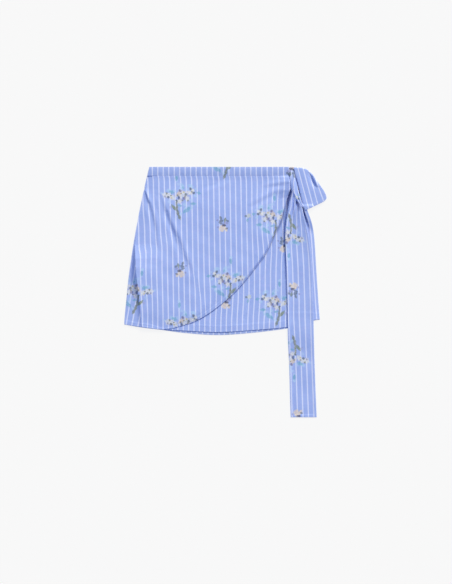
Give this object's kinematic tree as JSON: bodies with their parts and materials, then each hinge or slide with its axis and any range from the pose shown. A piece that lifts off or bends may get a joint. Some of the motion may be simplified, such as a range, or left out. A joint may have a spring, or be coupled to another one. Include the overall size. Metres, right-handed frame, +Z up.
{
  "type": "wrap skirt",
  "caption": "Short cotton wrap skirt laid flat: curved overlapping front, waistband, and a sash knotted at the right hip with a long hanging tail and a short end.",
  "frame": {"origin": "middle of the rectangle that the laid skirt covers, on the surface it lies on", "axes": "+X to the right as the front is seen, +Y towards the waist, +Z up off the surface"},
  "size_m": [0.5051, 0.625, 0.0134],
  "materials": {
    "striped_cotton_back": "light blue cotton poplin with narrow white stripes and loose floral sprays, matte",
    "striped_cotton_front": "light blue cotton poplin with narrow white stripes and loose floral sprays, matte",
    "striped_cotton_band": "light blue cotton poplin with narrow white stripes, folded double and edge stitched, matte",
    "striped_cotton_sash": "light blue cotton poplin with narrow white stripes and loose floral sprays, sewn and turned double, matte"
  },
  "bodies": {
    "root": {"back_panel": "striped_cotton_back", "front_underlap": "striped_cotton_front", "front_overlap": "striped_cotton_front", "waistband_back": "striped_cotton_band", "waistband_underlap": "striped_cotton_band", "waistband_overlap": "striped_cotton_band", "tie_tail": "striped_cotton_sash", "tie_knot": "striped_cotton_sash", "tie_end": "striped_cotton_sash"}
  },
  "joints": []
}
